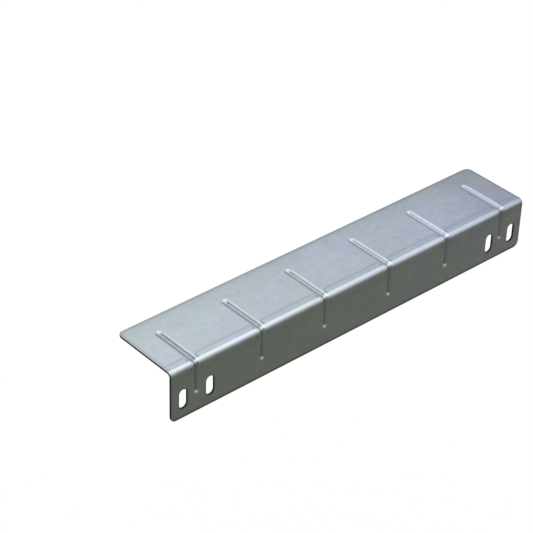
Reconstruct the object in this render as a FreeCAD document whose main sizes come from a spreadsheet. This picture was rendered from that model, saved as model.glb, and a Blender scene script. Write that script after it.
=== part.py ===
import FreeCAD, Part
import math
import os
import Sketcher

# A support rail for a cabinet of rack-mounted equipment: one galvanised steel sheet, folded once
# to an angle. The wall hangs down and is bolted through its slots, and the shelf carries the load.
# Beads pressed across the bend stiffen it. They are grooves outside and ribs inside.
# X runs along the rail, Y from the wall's outer face towards the shelf's free edge, Z up.
# The origin is on the wall's outer face, at mid-length and at the height of the slots' centres.

doc = FreeCAD.newDocument("support_rail")

# Driving dimensions, in millimetres
DIMENSIONS = (
    ("rail_length", 350.0, "end to end"),
    ("shelf_depth", 60.0, "wall's outer face to the shelf's free edge"),
    ("wall_height", 43.0, "wall's lower edge to the shelf's top face"),
    ("sheet", 1.5, "thickness of the sheet"),
    ("bend_radius", 2.5, "inside of the bend"),
    ("corner_radius", 5.0, "the four free corners"),
    ("slot_width", 7.0, "across a slot"),
    ("slot_length", 16.0, "end to end of a slot"),
    ("slot_height", 16.5, "wall's lower edge to the slots' centres"),
    ("slot_spacing", 24.0, "between the two slots that stand either side of an end bead"),
    ("bead_inset", 23.0, "rail's end to the end bead's centre line"),
    ("bead_pitch", 60.0, "between the beads of one half of the rail"),
    ("shelf_margin", 19.0, "shelf's free edge to the centre of a bead's far end"),
    ("wall_margin", 18.0, "wall's lower edge to the centre of a bead's lower end"),
    ("bead_depth", 1.6, "how far a bead is pressed in"),
    ("punch_radius", 1.9, "round bottom of a bead's groove"),
    ("root_radius", 1.7, "rounded feet of a bead's rib, inside"),
)
sizes = doc.addObject("Spreadsheet::Sheet", "sizes")
for row, (alias, number, meaning) in enumerate(DIMENSIONS, start=1):
    sizes.set(f"A{row}", meaning)
    sizes.set(f"B{row}", str(number))
    sizes.setAlias(f"B{row}", alias)
doc.recompute()

# Places that several features share, measured from the origin
TOP = "(sizes.wall_height - sizes.slot_height)"
OUTER_BEND = "(sizes.bend_radius + sizes.sheet)"
END_BEAD = "(sizes.rail_length / 2 - sizes.bead_inset)"
BEAD_REACH = "(sizes.shelf_depth - sizes.shelf_margin)"
BEAD_FOOT = "(sizes.wall_margin - sizes.slot_height)"

# The beads of one half, as many as leave a gap of at least half a pitch at mid-length
BEADS_PER_HALF = f"(floor(({END_BEAD} - sizes.bead_pitch / 4) / sizes.bead_pitch) + 1)"

# A bead's groove and rib are round about one line, which runs at this distance outside the sheet.
# The groove's lips run round the rib's feet, so the pressed sheet keeps its thickness.
BEAD_LINE = "(sizes.punch_radius - sizes.bead_depth)"
RIB_RADIUS = "(sizes.punch_radius + sizes.sheet)"
LIP_RADIUS = "(sizes.root_radius + sizes.sheet)"

# Numbers for the points of a sketch's geometry and for its axes
START, END, CENTRE = range(1, 4)
ORIGIN = (-1, START)
VERTICAL_AXIS = (-2,)

vector = FreeCAD.Vector
body = doc.addObject("PartDesign::Body", "support_rail")
body.Label = "support_rail"
origin = {feature.Role: feature for feature in body.Origin.OriginFeatures}


def value(expression):
    return float(body.evalExpression(expression))


def new_sketch(name, plane, turn=0, **offsets):
    """A sketch on one of the origin planes, moved along that plane's axes and turned in it, in degrees."""
    sketch = body.newObject("Sketcher::SketchObject", name)
    sketch.AttachmentSupport = [(origin[plane], "")]
    sketch.MapMode = "FlatFace"
    sketch.AttachmentOffset = FreeCAD.Placement(vector(), FreeCAD.Rotation(vector(0, 0, 1), turn))
    for axis, expression in offsets.items():
        sketch.setExpression(f"AttachmentOffset.Base.{axis}", expression)
    return sketch


def line(sketch, *ends):
    return sketch.addGeometry(Part.LineSegment(*[vector(*end) for end in ends]))


def arc(sketch, centre, radius, first_angle, last_angle):
    circle = Part.Circle(vector(*centre), vector(0, 0, 1), radius)
    return sketch.addGeometry(Part.ArcOfCircle(circle, first_angle, last_angle))


def constrain(sketch, kind, *references):
    sketch.addConstraint(Sketcher.Constraint(kind, *references))


def dimension(sketch, name, kind, references, expression):
    """A dimension of a sketch that the sheet drives."""
    constraint = Sketcher.Constraint(kind, *references, value(expression))
    sketch.renameConstraint(sketch.addConstraint(constraint), name)
    sketch.setExpression(f"Constraints.{name}", expression)


def copy_along_rail(name, originals, spacing, count):
    """Copies from the rail's end towards its middle, and all of them mirrored on the other half."""
    along = body.newObject("PartDesign::LinearPattern", f"{name}_along")
    along.Direction = (origin["X_Axis"], [""])
    along.Reversed = True
    along.Mode = "Spacing"
    along.setExpression("Offset", spacing)
    along.setExpression("Occurrences", count)
    mirrored = body.newObject("PartDesign::Mirrored", f"{name}_mirrored")
    mirrored.MirrorPlane = (origin["YZ_Plane"], [""])
    copies = body.newObject("PartDesign::MultiTransform", name)
    copies.Originals = originals
    copies.Transformations = [along, mirrored]
    body.Tip = copies
    doc.recompute()
    return copies


def fillet(name, base, radius, wanted):
    """Rounds the edges of base for which wanted is true."""
    edges = [f"Edge{i}" for i, edge in enumerate(base.Shape.Edges, start=1) if wanted(edge)]
    rounded = body.newObject("PartDesign::Fillet", name)
    rounded.Base = (base, edges)
    rounded.setExpression("Radius", radius)
    doc.recompute()
    return rounded


# The folded sheet: the wall, the bend and the shelf in one section
top, foot = value(TOP), -value("sizes.slot_height")
sheet, outer_bend = value("sizes.sheet"), value(OUTER_BEND)
shelf_depth = value("sizes.shelf_depth")
bend_centre = (outer_bend, top - outer_bend)
section = new_sketch("section", "YZ_Plane")
wall_outer = line(section, (0, foot), (0, top - outer_bend))
bend_outer = arc(section, bend_centre, outer_bend, math.pi / 2, math.pi)
shelf_top = line(section, (outer_bend, top), (shelf_depth, top))
shelf_edge = line(section, (shelf_depth, top), (shelf_depth, top - sheet))
shelf_under = line(section, (shelf_depth, top - sheet), (outer_bend, top - sheet))
bend_inner = arc(section, bend_centre, outer_bend - sheet, math.pi / 2, math.pi)
wall_inner = line(section, (sheet, top - outer_bend), (sheet, foot))
wall_edge = line(section, (sheet, foot), (0, foot))
constrain(section, "Tangent", wall_outer, END, bend_outer, END)
constrain(section, "Tangent", bend_outer, START, shelf_top, START)
constrain(section, "Coincident", shelf_top, END, shelf_edge, START)
constrain(section, "Coincident", shelf_edge, END, shelf_under, START)
constrain(section, "Tangent", shelf_under, END, bend_inner, START)
constrain(section, "Tangent", bend_inner, END, wall_inner, START)
constrain(section, "Coincident", wall_inner, END, wall_edge, START)
constrain(section, "Coincident", wall_edge, END, wall_outer, START)
constrain(section, "Coincident", bend_outer, CENTRE, bend_inner, CENTRE)
constrain(section, "PointOnObject", wall_outer, START, *VERTICAL_AXIS)
for upright in (wall_outer, shelf_edge, wall_inner):
    constrain(section, "Vertical", upright)
for level in (shelf_top, shelf_under, wall_edge):
    constrain(section, "Horizontal", level)
dimension(section, "slot_height", "DistanceY", (wall_outer, START, *ORIGIN), "sizes.slot_height")
dimension(section, "wall_height", "DistanceY", (wall_outer, START, shelf_top, START), "sizes.wall_height")
dimension(section, "shelf_depth", "DistanceX", (*ORIGIN, shelf_top, END), "sizes.shelf_depth")
dimension(section, "sheet", "DistanceX", (wall_edge, END, wall_edge, START), "sizes.sheet")
dimension(section, "bend_radius", "Radius", (bend_inner,), "sizes.bend_radius")
folded_sheet = body.newObject("PartDesign::Pad", "folded_sheet")
folded_sheet.Profile = section
folded_sheet.Midplane = True
folded_sheet.setExpression("Length", "sizes.rail_length")
doc.recompute()


# The four free corners, two on the shelf and two on the wall: straight edges through the sheet
def is_free_corner(edge):
    return isinstance(edge.Curve, Part.Line) and math.isclose(edge.Length, sheet, abs_tol=1e-6)


corners = fillet("corners", folded_sheet, "sizes.corner_radius", is_free_corner)

# The upright slots, one either side of each end bead
slot = new_sketch("slot", "XZ_Plane", x=f"{END_BEAD} + sizes.slot_spacing / 2")
half_width = value("sizes.slot_width / 2")
half_straight = value("(sizes.slot_length - sizes.slot_width) / 2")
upper_end = arc(slot, (0, half_straight), half_width, 0, math.pi)
left_side = line(slot, (-half_width, half_straight), (-half_width, -half_straight))
lower_end = arc(slot, (0, -half_straight), half_width, math.pi, 2 * math.pi)
right_side = line(slot, (half_width, -half_straight), (half_width, half_straight))
constrain(slot, "Tangent", upper_end, END, left_side, START)
constrain(slot, "Tangent", left_side, END, lower_end, START)
constrain(slot, "Tangent", lower_end, END, right_side, START)
constrain(slot, "Tangent", right_side, END, upper_end, START)
constrain(slot, "Vertical", left_side)
constrain(slot, "PointOnObject", upper_end, CENTRE, *VERTICAL_AXIS)
constrain(slot, "Symmetric", upper_end, CENTRE, lower_end, CENTRE, *ORIGIN)
dimension(slot, "half_width", "Radius", (upper_end,), "sizes.slot_width / 2")
dimension(slot, "straight", "DistanceY", (lower_end, CENTRE, upper_end, CENTRE),
          "sizes.slot_length - sizes.slot_width")
slot_cut = body.newObject("PartDesign::Pocket", "slot_cut")
slot_cut.Profile = slot
slot_cut.Type = "ThroughAll"
doc.recompute()
SLOTS_PER_BEAD = "2"
slots = copy_along_rail("slots", [slot_cut], "sizes.slot_spacing", SLOTS_PER_BEAD)

# The end bead's path on the outer face: in along the shelf, round the bend and down the wall
bead_reach, bead_foot = value(BEAD_REACH), value(BEAD_FOOT)
bead_path = new_sketch("bead_path", "YZ_Plane", z=END_BEAD)
shelf_run = line(bead_path, (bead_reach, top), (outer_bend, top))
bend_run = arc(bead_path, bend_centre, outer_bend, math.pi / 2, math.pi)
wall_run = line(bead_path, (0, top - outer_bend), (0, bead_foot))
constrain(bead_path, "Tangent", shelf_run, END, bend_run, START)
constrain(bead_path, "Tangent", bend_run, END, wall_run, START)
constrain(bead_path, "Horizontal", shelf_run)
constrain(bead_path, "Vertical", wall_run)
constrain(bead_path, "PointOnObject", wall_run, START, *VERTICAL_AXIS)
dimension(bead_path, "top", "DistanceY", (*ORIGIN, shelf_run, START), TOP)
dimension(bead_path, "outer_bend", "Radius", (bend_run,), OUTER_BEND)
dimension(bead_path, "bead_reach", "DistanceX", (*ORIGIN, shelf_run, START), BEAD_REACH)
dimension(bead_path, "bead_drop", "DistanceY", (wall_run, END, shelf_run, START), f"{TOP} - {BEAD_FOOT}")

# A bead is round about one line, so its groove and its rib are segments of circles about that line.
# Each is swept along the path, and its half is turned about the sheet's normal to round off the ends.
FAR_END = {"plane": "XZ_Plane", "x": END_BEAD, "y": TOP, "z": f"-{BEAD_REACH}"}
LOWER_END = {"plane": "XY_Plane", "turn": 180, "x": END_BEAD, "z": BEAD_FOOT}


def segment(name, place, radius, chord_drop, half):
    """The part of a circle about the bead's line that lies below a chord, or the right half of it.

    The sketch's own Y points out of the sheet, and its origin is on the sheet's outer face.
    """
    sketch = new_sketch(name, **place)
    line_height, round_radius, drop = value(BEAD_LINE), value(radius), value(chord_drop)
    chord_angle = math.asin(drop / round_radius)
    chord_end = round_radius * math.cos(chord_angle)
    chord_height = line_height - drop
    first_angle = 3 / 2 * math.pi if half else math.pi + chord_angle
    left_end = 0 if half else -chord_end
    round_side = arc(sketch, (0, line_height), round_radius, first_angle, 2 * math.pi - chord_angle)
    chord = line(sketch, (left_end, chord_height), (chord_end, chord_height))
    constrain(sketch, "Coincident", chord, END, round_side, END)
    constrain(sketch, "Horizontal", chord)
    constrain(sketch, "PointOnObject", round_side, CENTRE, *VERTICAL_AXIS)
    if half:
        middle = line(sketch, (0, line_height - round_radius), (0, chord_height))
        constrain(sketch, "Coincident", middle, START, round_side, START)
        constrain(sketch, "Coincident", middle, END, chord, START)
        constrain(sketch, "PointOnObject", middle, START, *VERTICAL_AXIS)
        constrain(sketch, "Vertical", middle)
    else:
        constrain(sketch, "Coincident", chord, START, round_side, START)
    dimension(sketch, "bead_line", "DistanceY", (*ORIGIN, round_side, CENTRE), BEAD_LINE)
    dimension(sketch, "radius", "Radius", (round_side,), radius)
    dimension(sketch, "chord_drop", "DistanceY", (chord, END, round_side, CENTRE), chord_drop)
    return sketch


def bead_side(name, pipe_kind, turn_kind, radius, chord_drop):
    """One side of a bead, with its round ends."""
    pipe = body.newObject(pipe_kind, name)
    pipe.Profile = segment(f"{name}_profile", FAR_END, radius, chord_drop, half=False)
    pipe.Spine = (bead_path, ["Edge1", "Edge2", "Edge3"])
    doc.recompute()
    features = [pipe]
    for end_name, place in (("far_end", FAR_END), ("lower_end", LOWER_END)):
        turned = body.newObject(turn_kind, f"{name}_{end_name}")
        turned.Profile = segment(f"{name}_{end_name}_profile", place, radius, chord_drop, half=True)
        turned.ReferenceAxis = (turned.Profile[0], ["V_Axis"])
        turned.Angle = 360
        features.append(turned)
        doc.recompute()
    return features


rib = bead_side("rib", "PartDesign::AdditivePipe", "PartDesign::Revolution", RIB_RADIUS,
                f"{BEAD_LINE} + sizes.sheet / 2")
groove = bead_side("groove", "PartDesign::SubtractivePipe", "PartDesign::Groove", "sizes.punch_radius",
                   f"{BEAD_LINE} / 2")
beads = copy_along_rail("beads", rib + groove, "sizes.bead_pitch", BEADS_PER_HALF)

# The rounded lips of the grooves and feet of the ribs, where a bead meets the faces of the sheet
bead_places = [value(f"{END_BEAD} - {i} * sizes.bead_pitch") for i in range(int(value(BEADS_PER_HALF)))]


def fillet_beads(name, base, depth, reach, radius):
    """Rounds the edges round the beads on the sheet's outer face, at depth 0, or on its inner face."""
    def is_bead_edge(edge):
        middle = edge.valueAt((edge.FirstParameter + edge.LastParameter) / 2)
        beside_bead = any(abs(abs(middle.x) - place) < reach for place in bead_places)
        from_bend = math.hypot(middle.y - bend_centre[0], middle.z - bend_centre[1])
        on_wall = middle.z <= bend_centre[1] and math.isclose(middle.y, depth, abs_tol=1e-6)
        on_shelf = middle.y >= bend_centre[0] and math.isclose(middle.z, top - depth, abs_tol=1e-6)
        on_bend = math.isclose(from_bend, outer_bend - depth, abs_tol=1e-6)
        return beside_bead and (on_wall or on_shelf or on_bend)
    return fillet(name, base, radius, is_bead_edge)


lips = fillet_beads("lips", beads, 0, value("sizes.punch_radius"), LIP_RADIUS)
roots = fillet_beads("roots", lips, sheet, value(RIB_RADIUS), "sizes.root_radius")
body.Tip = roots

# Every cut takes metal away and every rib adds some
volumes = [step.Shape.Volume for step in (corners, slot_cut, slots, rib[-1], groove[-1])]
if not volumes[0] > volumes[1] > volumes[2] < volumes[3] > volumes[4]:
    raise RuntimeError(f"a cut or a rib points the wrong way: {volumes}")
for item in doc.Objects:
    if {"Invalid", "Error"} & set(item.State):
        raise RuntimeError(f"{item.Name} failed: {item.State}")
if body.Shape.isNull() or not body.Shape.isValid() or len(body.Shape.Solids) != 1:
    raise RuntimeError("the rail isn't one valid solid")

os.makedirs("parts", exist_ok=True)
body.Shape.exportStep(f"parts/{body.Label}.step")
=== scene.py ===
import math

import bpy
import numpy as np
from mathutils import Matrix
from mathutils import Vector
from mathutils.geometry import delaunay_2d_cdt


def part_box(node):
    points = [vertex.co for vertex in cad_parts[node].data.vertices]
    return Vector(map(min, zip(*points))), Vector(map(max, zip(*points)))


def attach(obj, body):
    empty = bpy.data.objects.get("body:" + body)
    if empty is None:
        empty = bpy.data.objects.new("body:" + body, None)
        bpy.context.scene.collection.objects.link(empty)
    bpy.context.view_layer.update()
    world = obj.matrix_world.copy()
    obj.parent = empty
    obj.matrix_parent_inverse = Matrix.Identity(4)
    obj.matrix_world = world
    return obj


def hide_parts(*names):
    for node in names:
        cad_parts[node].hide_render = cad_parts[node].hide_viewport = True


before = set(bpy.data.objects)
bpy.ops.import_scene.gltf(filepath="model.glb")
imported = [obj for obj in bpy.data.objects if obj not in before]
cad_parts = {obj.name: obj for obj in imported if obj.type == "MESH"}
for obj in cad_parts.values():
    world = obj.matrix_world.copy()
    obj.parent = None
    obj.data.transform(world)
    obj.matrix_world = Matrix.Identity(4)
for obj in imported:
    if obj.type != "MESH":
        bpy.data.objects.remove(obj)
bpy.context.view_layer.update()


# The blank of the support rail: one galvanised steel sheet, 1.5 mm thick, with rounded corners and
# four upright slots. It is punched flat, so places on it are given along the rail and across it,
# from the wall's lower edge over the bend to the shelf's free edge, in millimetres.
MM = 0.001
low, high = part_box("support_rail")
half_length = high.x / MM
shelf_depth = high.y / MM
top = high.z / MM
foot = low.z / MM
sheet = 1.5
outer_bend = 4.0
wall_run = top - outer_bend - foot
bend_run = outer_bend * math.pi / 2
shelf_start = wall_run + bend_run
blank_width = shelf_start + shelf_depth - outer_bend
corner_radius = 5.0
slot_radius = 3.5
slot_half_straight = 4.5
slot_across = -foot
slot_places = (-164.0, -140.0, 140.0, 164.0)


def inside_metal(along, across):
    """How far places on the blank are inside its cut edges."""
    past_x = np.abs(along) - half_length + corner_radius
    past_y = np.abs(across - blank_width / 2) - blank_width / 2 + corner_radius
    round_part = np.hypot(np.maximum(past_x, 0), np.maximum(past_y, 0))
    inside = corner_radius - round_part - np.minimum(np.maximum(past_x, past_y), 0)
    for place in slot_places:
        off_straight = np.maximum(np.abs(across - slot_across) - slot_half_straight, 0)
        inside = np.minimum(inside, np.hypot(along - place, off_straight) - slot_radius)
    return inside


def spread(*runs):
    """Places along a line, from runs of a start, an end and a spacing."""
    places = [np.linspace(start, end, round((end - start) / gap) + 1) for start, end, gap in runs]
    return np.unique(np.concatenate(places).round(5))


def arc_points(centre, radius, first, last, count=10):
    angles = np.radians(np.linspace(first, last, count + 1))
    return [(centre[0] + radius * math.cos(a), centre[1] + radius * math.sin(a)) for a in angles]


def edge_loops(inset):
    """The blank's outline and its slots, that far inside the metal, with the metal on the left."""
    x, y = half_length - corner_radius, blank_width - corner_radius
    along = spread((-x, x, 4.0))[1:-1]
    across_runs = ((corner_radius, wall_run, 2.5), (wall_run, shelf_start, 0.35), (shelf_start, y, 2.5))
    across = spread(*across_runs)[1:-1]
    radius = corner_radius - inset
    outline = arc_points((-x, corner_radius), radius, 180, 270)
    outline += [(a, inset) for a in along]
    outline += arc_points((x, corner_radius), radius, 270, 360)
    outline += [(half_length - inset, a) for a in across]
    outline += arc_points((x, y), radius, 0, 90)
    outline += [(a, blank_width - inset) for a in along[::-1]]
    outline += arc_points((-x, y), radius, 90, 180)
    outline += [(inset - half_length, a) for a in across[::-1]]
    loops = [outline]
    for place in slot_places:
        upper = (place, slot_across + slot_half_straight)
        lower = (place, slot_across - slot_half_straight)
        slot = arc_points(upper, slot_radius + inset, 180, 0, 16)
        slot += arc_points(lower, slot_radius + inset, 0, -180, 16)
        loops.append(slot)
    return loops


def triangulate(loops, along, across, margin):
    """Triangles that fill the blank inside its loops, with the lines of a grid in them."""
    points = [point for loop in loops for point in loop]
    edges, first = [], 0
    for loop in loops:
        edges += [(first + i, first + (i + 1) % len(loop)) for i in range(len(loop))]
        first += len(loop)
    grid_x, grid_y = (axis.ravel() for axis in np.meshgrid(along, across))
    clear = inside_metal(grid_x, grid_y) > margin + 0.2
    points += list(zip(grid_x[clear], grid_y[clear]))
    result = delaunay_2d_cdt([Vector(point) for point in points], edges, [], 0, 1e-5)
    flat = np.array([point[:] for point in result[0]])
    triangles = np.array(result[2])
    middles = flat[triangles].mean(axis=1)
    return flat, triangles[inside_metal(middles[:, 0], middles[:, 1]) > margin - 0.02]


# The beads: a punch with a round nose presses them into the blank, across the line of the bend, which
# they stiffen. Outside each is a groove with rounded lips, and inside a rib of the same round form.
bead_places = np.array([-152.0, -92.0, -32.0, 32.0, 92.0, 152.0])
punch_radius = 1.9
bead_line = 0.3
root_radius = 1.7
lip_radius = root_radius + sheet
bead_foot = 18.0
bead_reach = shelf_start + 37.0


def past_bead(along):
    """How far places along the rail are past the nearest bead, or before it where negative."""
    return along - bead_places[np.abs(along[:, None] - bead_places).argmin(axis=1)]


def from_bead(along, across):
    """How far places on the blank are from the nearest bead's centre line."""
    past_end = np.maximum(np.maximum(bead_foot - across, across - bead_reach), 0)
    return np.hypot(past_bead(along), past_end)


def groove_depth(distance):
    """How far the outer face is pressed in: the punch's round, then the round of the lip."""
    lip_end = math.sqrt((punch_radius + lip_radius) ** 2 - (bead_line + lip_radius) ** 2)
    meeting = lip_end * punch_radius / (punch_radius + lip_radius)
    punched = np.sqrt(np.maximum(punch_radius ** 2 - distance ** 2, 0)) - bead_line
    on_lip = np.clip(lip_end - distance, 0, lip_radius)
    return np.where(distance < meeting, punched, lip_radius - np.sqrt(lip_radius ** 2 - on_lip ** 2))


def rib_depth(distance):
    """How deep the inner face lies below the outer one: the rib's round, then the round of its foot."""
    rib_radius = punch_radius + sheet
    root_depth = sheet + root_radius
    root_end = math.sqrt((rib_radius + root_radius) ** 2 - (bead_line + root_depth) ** 2)
    meeting = root_end * rib_radius / (rib_radius + root_radius)
    pressed_in = np.sqrt(np.maximum(rib_radius ** 2 - distance ** 2, 0)) - bead_line
    on_root = np.clip(root_end - distance, 0, root_radius)
    return np.where(distance < meeting, pressed_in, root_depth - np.sqrt(root_radius ** 2 - on_root ** 2))


def groove_bottom_shade(along, across):
    """Painted shade at a groove's bottom, from 0 to 1."""
    shallowest, full = 0.8, 1.4
    depth = groove_depth(from_bead(along, across))
    return np.clip((depth - shallowest) / (full - shallowest), 0, 1)


def soft_spot(beside, run, middle, widths):
    """1 at the middle of a soft spot, fading over its widths along the rail and across it."""
    return np.exp(-((beside - middle[0]) / widths[0]) ** 2 - ((run - middle[1]) / widths[1]) ** 2)


def painted_groove_shade(along, across):
    """Painted shade on a groove: its right side and end on the shelf, and two spots by the bend."""
    beside = past_bead(along)
    past_end = across - bead_reach
    past_bend = across - shelf_start
    end_middle = 0.6
    end_run = np.where(past_end > end_middle, 1.35, 0.85)
    end = soft_spot(beside, past_end, middle=(1.6, end_middle), widths=(1.1, end_run))
    over_bend = soft_spot(beside, across - wall_run, middle=(1.6, 2.6), widths=(1.2, 1.2))
    at_die = soft_spot(beside, past_bend, middle=(0.8, 1.5), widths=(1.6, 0.8))
    right_side = np.exp(-((beside - 2.0) / 0.38) ** 2)
    along_shelf = np.clip(-past_end, 0, 1) * np.clip(past_bend / 2, 0, 1)
    return 2.0 * end + 2.0 * over_bend + at_die + 0.8 * right_side * along_shelf


# The fold: a press brake bends the blank along one line. The shoulders of its die rub a faint line into
# both flanges. It hooks back to the bend at each bead, wider on the right, and the sheet dips in there.
wall_mark = 4.2
shelf_mark = 5.0
mark_width = 1.0
mark_depth = 0.03
hook_starts = {"before": 4.8, "past": 7.0}
hook_reaches = {"before": 1.2, "past": 3.0}
dip_beside = 4.7
dip_off_bend = 1.2
dip_width = 1.0
dip_run = 1.5
dip_depth = 0.07
wave_depth = 0.01


def on_shelf(across):
    return across > wall_run + bend_run / 2


def off_bend(across):
    """How far places on the blank are from the bend, on either flange."""
    return np.where(on_shelf(across), across - shelf_start, wall_run - across)


def die_line(along, across):
    """How far places on the blank are from the line that the die's shoulders wear in."""
    clear = off_bend(across)
    mark_offset = np.where(on_shelf(across), shelf_mark, wall_mark)
    beside = np.abs(past_bead(along))
    before = past_bead(along) < 0
    hook_start = np.where(before, hook_starts["before"], hook_starts["past"])
    hook_reach = np.where(before, hook_reaches["before"], hook_reaches["past"])
    hook = np.hypot(np.maximum(hook_start - beside, 0) / hook_reach, clear / mark_offset)
    on_hook = np.abs(hook - 1) * (hook_reach + mark_offset) / 2
    distance = np.where(beside < hook_start, on_hook, np.abs(clear - mark_offset))
    return np.where(clear > 0, distance, np.hypot(distance, clear))


def die_mark(along, across):
    """How strong the die's mark is, fainter on the wall than on the shelf."""
    return np.where(on_shelf(across), 1.0, 0.4) * np.exp(-(die_line(along, across) / mark_width) ** 2)


def drawn_in(along, across):
    """Small dips either side of a bead, next to the bend."""
    beside = np.abs(past_bead(along))
    return soft_spot(beside, off_bend(across), (dip_beside, dip_off_bend), (dip_width, dip_run))


def unevenness(along, across):
    """The slight waviness of rolled sheet, from 0 to 1."""
    along_waves = np.sin(along / 9.1 + 1.3 * np.sin(across / 17))
    across_waves = np.sin(across / 7.3 + 0.8 * np.sin(along / 23))
    return (1 + along_waves * across_waves) / 2


def face_depth(along, across):
    """How far the outer face lies below the flat sheet's."""
    shallow = mark_depth * die_mark(along, across) + dip_depth * drawn_in(along, across)
    return groove_depth(from_bead(along, across)) + shallow + wave_depth * unevenness(along, across)


def fold(along, across, depth):
    """Places in the folded rail, from places on the blank and how deep in the sheet they are."""
    angle = np.clip((across - wall_run) / outer_bend, 0, math.pi / 2)
    radius = outer_bend - depth
    y = outer_bend - radius * np.cos(angle) + np.maximum(across - shelf_start, 0)
    z = top - outer_bend + radius * np.sin(angle) + np.minimum(across - wall_run, 0)
    return np.column_stack((along, y, z)) * MM


# The cut edges: a shear or punch first rolls the sheet's edge in, then cuts a smooth band, and the rest
# breaks off rough. Each ring goes round the edges: how far in it lies, its depth, and how bare its steel is.
roll_width = 0.6
roll_depth = 0.16
shelf_band = 2.7
wall_band = 1.3
no_band = 2.0
edge_rings = [(roll_width + 0.3, 0.0, 0.0)]
for angle in np.radians((0, 30, 60, 90)):
    inset = roll_width * (1 - math.sin(angle))
    depth = roll_depth * (1 - math.cos(angle))
    edge_rings.append((inset, depth, math.sin(angle) ** 0.7))
edge_rings += [(0.0, 0.18, 1.0), (0.0, 0.6, 1.0), (0.02, 0.66, 1.0), (0.05, 1.4, 1.0), (0.08, 1.47, 0.8)]
edge_rings += [(0.15, sheet, 0.0), (0.45, sheet, 0.0)]


def from_edge(along, across):
    """How far places are from a cut edge, as a share of the dull band that the shear leaves beside it."""
    band_width = np.where(on_shelf(across), shelf_band, wall_band)
    return np.minimum(inside_metal(along, across) / band_width, no_band)


# The sheet's mesh: a close grid over the beads, the bend and the die's lines, and a wide one between.
# Its outer and inner faces are filled flat, folded, and joined by the rings round the cut edges.
groove_half = 3.9
rib_half = 4.0
hook_half = 7.5
end_beyond = 4.0
end_within = 0.6
first_bead, last_bead = bead_places[0], bead_places[-1]
bead_gaps = list(zip(bead_places[:-1], bead_places[1:]))
along_runs = [(-half_length, first_bead - hook_half, 1.6), (last_bead + hook_half, half_length, 1.6)]
along_runs += [(left + hook_half, right - hook_half, 3.2) for left, right in bead_gaps]
for bead in bead_places:
    along_runs.append((bead - hook_half, bead - groove_half, 0.4))
    along_runs.append((bead - groove_half, bead + groove_half, 0.2))
    along_runs.append((bead + groove_half, bead + hook_half, 0.4))
across_runs = [
    (0, bead_foot - end_beyond, 1.8),
    (bead_foot - end_beyond, bead_foot + end_within, 0.25),
    (bead_foot + end_within, wall_run - 5.5, 1.6),
    (wall_run - 5.5, wall_run, 0.28),
    (wall_run, shelf_start, 0.33),
    (shelf_start, shelf_start + 6.7, 0.28),
    (shelf_start + 6.7, bead_reach - end_within, 2.0),
    (bead_reach - end_within, bead_reach + end_beyond, 0.25),
    (bead_reach + end_beyond, blank_width, 2.2),
]
inner_along_runs = [(-half_length, first_bead - rib_half, 2.5), (last_bead + rib_half, half_length, 2.5)]
inner_along_runs += [(left + rib_half, right - rib_half, 5.0) for left, right in bead_gaps]
inner_along_runs += [(bead - rib_half, bead + rib_half, 0.25) for bead in bead_places]
inner_across_runs = [
    (0, bead_foot - end_beyond, 2.5),
    (bead_foot - end_beyond, bead_foot + end_within, 0.3),
    (bead_foot + end_within, wall_run, 2.5),
    (wall_run, shelf_start, 0.5),
    (shelf_start, bead_reach - end_within, 3.0),
    (bead_reach - end_within, bead_reach + end_beyond, 0.3),
    (bead_reach + end_beyond, blank_width, 3.0),
]

ring_loops = [edge_loops(inset) for inset, depth, bare in edge_rings]
ring_length = sum(len(loop) for loop in ring_loops[0])
outer_flat, outer_faces = triangulate(
    ring_loops[0], spread(*along_runs), spread(*across_runs), edge_rings[0][0])
inner_flat, inner_faces = triangulate(
    ring_loops[-1], spread(*inner_along_runs), spread(*inner_across_runs), edge_rings[-1][0])

x, y = outer_flat.T
points = [fold(x, y, face_depth(x, y))]
bare_steel = [np.zeros(len(x))]
# Besides the die's worn line, this mark paints shade into the dips beside the beads.
rubbed = [die_mark(x, y) + 1.3 * drawn_in(x, y)]
# The pressed mark is painted shade in the grooves.
pressed = [groove_bottom_shade(x, y) + painted_groove_shade(x, y)]
edge_band = [from_edge(x, y)]
for (inset, depth, bare), loops in zip(edge_rings[1:-1], ring_loops[1:-1]):
    x, y = np.array([point for loop in loops for point in loop]).T
    points.append(fold(x, y, depth + (1 - depth / sheet) * face_depth(x, y)))
    bare_steel.append(np.full(ring_length, bare))
    rubbed.append(die_mark(x, y) * (depth < roll_depth))
    pressed.append(np.zeros(ring_length))
    edge_band.append(from_edge(x, y))
x, y = inner_flat.T
points.append(fold(x, y, rib_depth(from_bead(x, y))))
bare_steel.append(np.zeros(len(x)))
rubbed.append(np.zeros(len(x)))
pressed.append(np.zeros(len(x)))
edge_band.append(np.full(len(x), no_band))

starts = np.cumsum([0] + [len(group) for group in points])
faces = outer_faces.tolist() + (inner_faces[:, ::-1] + starts[-2]).tolist()
for ring, next_ring in zip(starts[:-2], starts[1:-1]):
    first = 0
    for loop in ring_loops[0]:
        for i in range(len(loop)):
            here, after = first + i, first + (i + 1) % len(loop)
            faces.append([ring + after, ring + here, next_ring + here, next_ring + after])
        first += len(loop)

rail_mesh = bpy.data.meshes.new("folded_rail")
rail_mesh.from_pydata(np.concatenate(points).tolist(), [], faces)
rail_mesh.shade_smooth()
marks = {"bare_steel": bare_steel, "rubbed": rubbed, "pressed": pressed, "edge_band": edge_band}
for name, numbers in marks.items():
    attribute = rail_mesh.attributes.new(name, "FLOAT", "POINT")
    attribute.data.foreach_set("value", np.concatenate(numbers).astype(np.float32))
rail = bpy.data.objects.new("folded_rail", rail_mesh)
bpy.context.scene.collection.objects.link(rail)
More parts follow.
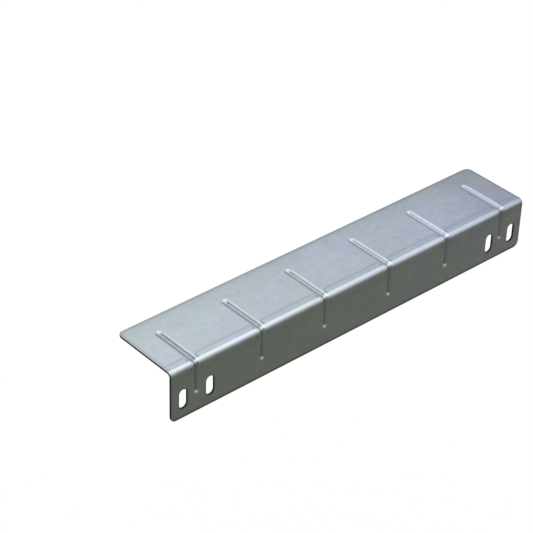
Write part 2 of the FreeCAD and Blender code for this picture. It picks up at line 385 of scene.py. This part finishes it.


# The rail's finish: bright zinc with a thin blue passivation, satin from the rolling mill. It has soft
# clouds of blue and lilac, a faint spangle and rolling lines, and is a little darker towards the free
# edge. Painted shade darkens it at the right end and over the bend on the right half, dims the highlight
# at the grooves' lower ends, and darkens the grooves and the dips beside the beads. Cut edges show bare
# steel.
class Wire:
    """A socket of a node tree. Arithmetic on it adds Math nodes, and node() adds any other node."""

    def __init__(self, tree, socket=None):
        self.tree = tree
        self.socket = socket

    def node(self, kind, settings=None, inputs=None, output=None):
        made = self.tree.nodes.new(kind)
        for name, setting in (settings or {}).items():
            if name == "stops":
                elements = made.color_ramp.elements
                while len(elements) < len(setting):
                    elements.new(1)
                for element, (place, colour) in zip(elements, setting):
                    element.position = place
                    element.color = (*colour, 1)
            else:
                setattr(made, name, setting)
        for name, given in (inputs or {}).items():
            if isinstance(name, int):
                socket = made.inputs[name]
            else:
                socket = next(s for s in made.inputs if s.enabled and s.name == name)
            if isinstance(given, Wire):
                self.tree.links.new(given.socket, socket)
            else:
                socket.default_value = given
        found = [s for s in made.outputs if s.enabled and output in (None, s.name)]
        return Wire(self.tree, found[0] if found else None)

    def output(self, name):
        """Another output of the node that this wire comes from."""
        return Wire(self.tree, self.socket.node.outputs[name])

    def maths(self, operation, first, second):
        return self.node("ShaderNodeMath", {"operation": operation}, {0: first, 1: second})

    def __add__(self, other):
        return self.maths("ADD", self, other)

    def __radd__(self, other):
        return self.maths("ADD", other, self)

    def __sub__(self, other):
        return self.maths("SUBTRACT", self, other)

    def __rsub__(self, other):
        return self.maths("SUBTRACT", other, self)

    def __mul__(self, other):
        return self.maths("MULTIPLY", self, other)

    def __rmul__(self, other):
        return self.maths("MULTIPLY", other, self)


def new_material(name):
    """A material with an empty node tree, and a wire to build it on."""
    material = bpy.data.materials.new(name)
    material.use_nodes = True
    material.node_tree.nodes.clear()
    return material, Wire(material.node_tree)


def mix_colours(factor, first, second, blend="MIX"):
    settings = {"data_type": "RGBA", "blend_type": blend}
    return factor.node("ShaderNodeMix", settings, {"Factor": factor, "A": first, "B": second})


def ramp(wire, start, end, least=0.0, most=1.0):
    """From least to most, as a number goes from start to end."""
    ends = {"From Min": start, "From Max": end, "To Min": least, "To Max": most}
    return wire.node("ShaderNodeMapRange", inputs={"Value": wire, **ends})


def noise(place, scale, detail, distortion=0.0):
    settings = {"Scale": scale, "Detail": detail, "Distortion": distortion}
    return place.node("ShaderNodeTexNoise", inputs={"Vector": place, **settings})


zinc, tree = new_material("galvanised_sheet")
place = tree.node("ShaderNodeTexCoord", output="Object")
place_x = tree.node("ShaderNodeSeparateXYZ", inputs={"Vector": place}, output="X")
place_y = place_x.output("Y")
place_z = place_x.output("Z")
facing = tree.node("ShaderNodeNewGeometry", output="Normal")
facing_up = tree.node("ShaderNodeSeparateXYZ", inputs={"Vector": facing}, output="Z")
clouds = noise(place, 24.0, 2.0)
wisps = noise(place, 61.0, 3.0, 0.6)
grain = noise(place, 1500.0, 2.0)
drawn_out = tree.node("ShaderNodeMapping", inputs={"Vector": place, "Scale": (14.0, 900.0, 900.0)})
rolling = noise(drawn_out, 1.0, 2.0)
crystals = tree.node("ShaderNodeTexVoronoi", inputs={"Vector": place, "Scale": 290.0}, output="Color")
spangle = tree.node("ShaderNodeSeparateColor", inputs={"Color": crystals})
bare, rub_and_dip_shade, groove_shade, from_cut = (
    tree.node("ShaderNodeAttribute", {"attribute_name": name}, output="Fac") for name in marks)

# The passivation's film: its clouds, then painted shade over the bend on the right half and at the right end,
# a little darker towards the free edge, and painted shade dimming the grooves' lower ends.
blue_and_lilac = ((0.3, (0.62, 0.697, 0.757)), (0.74, (0.634, 0.688, 0.85)))
film = tree.node("ShaderNodeValToRGB", {"stops": blue_and_lilac}, {"Fac": 1.4 * clouds + 1.6 * place_x - 0.2})
film = mix_colours((wisps - 0.4) * 0.9, film, (0.624, 0.705, 0.747, 1))
by_bend = ramp(place_y, 0.0095, 0.0055)
on_top = ramp(place_z, 0.019, 0.0235)
right_half = ramp(place_x, -0.1, 0.13)
right_end = ramp(place_x, 0.125, 0.15)
to_free_edge = ramp(place_y, 0.034, 0.056)
# Painted shade on up-facing faces near the wall's middle height, mostly the grooves' lower ends, dimming
# their highlight.
bead_end_shade = ramp(facing_up, 0.15, 0.5) * ramp(place_z, 0.006, 0.004) * ramp(place_z, -0.006, -0.004)
# Painted shade: dims the bend's highlight on the right half.
film = mix_colours(by_bend * right_half * on_top, film, (0.935, 0.99, 0.995, 1), "MULTIPLY")
# Painted shade: darker at the right end of the shelf.
film = mix_colours(right_end * on_top, film, (0.87, 0.875, 0.885, 1), "MULTIPLY")
film = mix_colours(to_free_edge, film, (0.9, 0.93, 0.885, 1), "MULTIPLY")
# Painted shade dimming the highlight at the grooves' lower ends.
film = mix_colours(bead_end_shade, film, (0.92, 0.93, 0.79, 1), "MULTIPLY")

# The zinc under it: the crystals' tone, then painted shade in the grooves, the die's worn line with painted
# shade in the dips beside the beads, dull edge bands and bare places.
tone = 0.74 + 0.11 * spangle + 0.32 * wisps + 0.1 * grain
crystal_tone = tree.node("ShaderNodeCombineColor", inputs={0: tone, 1: tone, 2: tone})
dull_zinc_and_shade = (0.326, 0.359, 0.38, 1)
rubbed_zinc_and_dip_shade = (0.357, 0.4, 0.458, 1)
steel = (0.028, 0.029, 0.031, 1)
dull_edge = ramp(from_cut, 0.82, 1.12, 0.33, 0.0)
lower_edge = ramp(place_z, -0.0135, -0.0157)
back_edge = ramp(place_y, 0.0525, 0.059, 0.0, 0.16)
colour = mix_colours(rolling, film, crystal_tone, "MULTIPLY")
# Painted shade in the grooves.
colour = mix_colours(0.45 * groove_shade, colour, dull_zinc_and_shade)
# Painted shade in the dips beside the beads, over the die's worn line.
colour = mix_colours(0.5 * rub_and_dip_shade, colour, rubbed_zinc_and_dip_shade)
colour = mix_colours(dull_edge + lower_edge + back_edge, colour, dull_zinc_and_shade)
colour = mix_colours(bare, colour, steel)
roughness = 0.21 + 0.06 * (rolling - 0.5) + 0.04 * (spangle - 0.5) + 0.06 * rub_and_dip_shade + 0.25 * bare
relief = 0.5 * grain + 0.7 * rolling + 0.4 * spangle
bump = tree.node("ShaderNodeBump", inputs={"Strength": 0.08, "Distance": 0.00002, "Height": relief})
zinc_inputs = {"Base Color": colour, "Metallic": 1.0, "Roughness": roughness, "Normal": bump}
zinc_shader = tree.node("ShaderNodeBsdfPrincipled", inputs=zinc_inputs)
tree.node("ShaderNodeOutputMaterial", inputs={"Surface": zinc_shader})
rail_mesh.materials.append(zinc)
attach(rail, "root")
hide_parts("support_rail")


# The studio: a wide white floor well below the rail, as the rail hangs by its wall. A dim card just above
# the floor is seen only in the metal, where it darkens the wall. A soft dome lights it all.
def stage_card(name, half, level):
    """A level square of the stage, and a wire to build its material on."""
    corners = [(-half, -half, level), (half, -half, level), (half, half, level), (-half, half, level)]
    mesh = bpy.data.meshes.new(name)
    mesh.from_pydata(corners, [], [(0, 1, 2, 3)])
    card = bpy.data.objects.new(name, mesh)
    bpy.context.scene.collection.objects.link(card)
    material, card_tree = new_material(name)
    mesh.materials.append(material)
    return card, card_tree


floor, floor_tree = stage_card("floor", 15.0, -0.6)
matt_floor = floor_tree.node("ShaderNodeBsdfDiffuse", inputs={"Color": (0.97, 0.97, 0.97, 1)})
white = floor_tree.node("ShaderNodeEmission", inputs={"Color": (1, 1, 1, 1), "Strength": 1.0})
seen = floor_tree.node("ShaderNodeLightPath", output="Is Camera Ray")
whiteness = 0.8 * (seen + seen.output("Is Glossy Ray") + seen.output("Is Transmission Ray"))
lit_floor = floor_tree.node("ShaderNodeMixShader", inputs={0: whiteness, 1: matt_floor, 2: white})
floor_tree.node("ShaderNodeOutputMaterial", inputs={"Surface": lit_floor})

# The dim card: a little darker to the left, and lighter close to the rail and far in front of it.
dim_card, card_tree = stage_card("dim_card", 14.0, -0.5)
card_place = card_tree.node("ShaderNodeTexCoord", output="Object")
card_x = card_tree.node("ShaderNodeSeparateXYZ", inputs={"Vector": card_place}, output="X")
card_y = card_x.output("Y")
far_off = ramp(card_y, -0.6, -3.0, 0.0, 0.1)
close_by = ramp(card_y, -0.4, -0.15, 0.0, 0.06)
card_tone = ramp(card_x, 0.2, 0.8, 0.153, 0.172) + far_off + close_by
card_levels = {0: 0.98 * card_tone, 1: card_tone, 2: 0.775 * card_tone}
card_colour = card_tree.node("ShaderNodeCombineColor", inputs=card_levels)
matt_card = card_tree.node("ShaderNodeBsdfDiffuse", inputs={"Color": card_colour})
card_tree.node("ShaderNodeOutputMaterial", inputs={"Surface": matt_card})
dim_card.visible_camera = False
dim_card.visible_diffuse = False
dim_card.visible_shadow = False

# The dome: its light goes by how far to the right a direction points, and by its tilt from straight up,
# which is positive to the front. It is brightest overhead and falls off to the right and the back.
world = bpy.data.worlds.new("soft_dome")
world.use_nodes = True
world.node_tree.nodes.clear()
dome = Wire(world.node_tree)
direction = dome.node("ShaderNodeTexCoord", output="Generated")
sideways = dome.node("ShaderNodeSeparateXYZ", inputs={"Vector": direction}, output="X")
backwards = sideways.output("Y")
upwards = sideways.output("Z")
tilt = upwards.maths("ARCTAN2", -1.0 * backwards, upwards)
side_tones = (
    (0.0, 0.7), (0.15, 1.0), (0.345, 1.15), (0.45, 1.03), (0.56, 0.94), (0.65, 0.92), (0.745, 0.89),
    (0.762, 0.825), (0.778, 0.785), (0.795, 0.725), (0.811, 0.635), (0.828, 0.51), (0.845, 0.47),
    (0.883, 0.5), (1.0, 0.58),
)
tilt_tones = (
    (-180, 0.2, 1.0, 1.0), (-90, 0.55, 1.0, 1.0), (-72, 0.8, 1.0, 1.0), (-57, 0.95, 1.0, 1.0),
    (-45, 1.0, 1.0, 1.0), (-38, 1.1, 1.0, 1.0), (-25, 1.58, 1.02, 1.0), (-5, 1.87, 1.03, 1.0),
    (15, 1.78, 1.04, 1.0), (35, 1.25, 1.04, 0.99), (55, 0.79, 1.04, 0.96), (75, 0.44, 1.04, 0.95),
    (95, 0.25, 1.04, 0.96), (120, 0.24, 1.0, 0.9), (180, 0.2, 1.0, 0.9),
)
side_stops = [(x, (tone, tone, tone)) for x, tone in side_tones]
tilt_stops = [(0.5 + a / 360, (tone * red, tone, tone * blue)) for a, tone, red, blue in tilt_tones]
sides = dome.node("ShaderNodeValToRGB", {"stops": side_stops}, {"Fac": 0.5 + 0.5 * sideways})
overhead = dome.node("ShaderNodeValToRGB", {"stops": tilt_stops}, {"Fac": 0.5 + 0.5 / math.pi * tilt})
to_right = ramp(sideways, 0.5, 0.66)
high_up = ramp(tilt, -0.6, -0.25, 0.0, 0.09)
past_top = ramp(tilt, 0.1, 0.5, 0.0, 0.09)
to_front = ramp(tilt, 0.35, 1.66, 0.0, 1.15)
to_left = ramp(sideways, -0.1, -0.3)
to_back = ramp(tilt, -0.63, -0.77, 0.0, 0.75)
lower_back = ramp(tilt, -0.94, -1.08, 0.0, 0.75)
strength = (sides + to_right * (to_front + past_top - high_up)) * (1.0 - to_left * (to_back - lower_back))
brightest = (1.6, 1.55, 1.55)
light = dome.node("ShaderNodeVectorMath", {"operation": "SCALE"}, {"Vector": overhead, "Scale": strength})
dome_colour = dome.node("ShaderNodeVectorMath", {"operation": "MINIMUM"}, {0: light, 1: brightest})
background = dome.node("ShaderNodeBackground", inputs={"Color": dome_colour, "Strength": 0.92})
dome.node("ShaderNodeOutputWorld", inputs={"Surface": background})
bpy.context.scene.world = world


# The camera: a long lens from the left and above, placed from the photograph's edges, beads and slots.
# The picture is square, so the lens is its focal length in pixels over 533, on a sensor 36 mm wide.
camera = bpy.data.cameras.new("camera")
camera.sensor_width = 36.0
camera.lens = 1915.31 / 533 * camera.sensor_width
camera.clip_start = 0.05
camera.clip_end = 100.0
picture_right = Vector((0.754346, -0.655980, 0.025545))
picture_top = Vector((0.357862, 0.443524, 0.821719))
picture_back = Vector((-0.550361, -0.610718, 0.569321))
turned = Matrix((picture_right, picture_top, picture_back)).transposed().to_4x4()
view = bpy.data.objects.new("camera", camera)
view.matrix_world = Matrix.Translation((-0.812625, -0.800975, 0.825505)) @ turned
bpy.context.scene.collection.objects.link(view)
bpy.context.scene.camera = view
bpy.context.scene.view_settings.view_transform = "Standard"
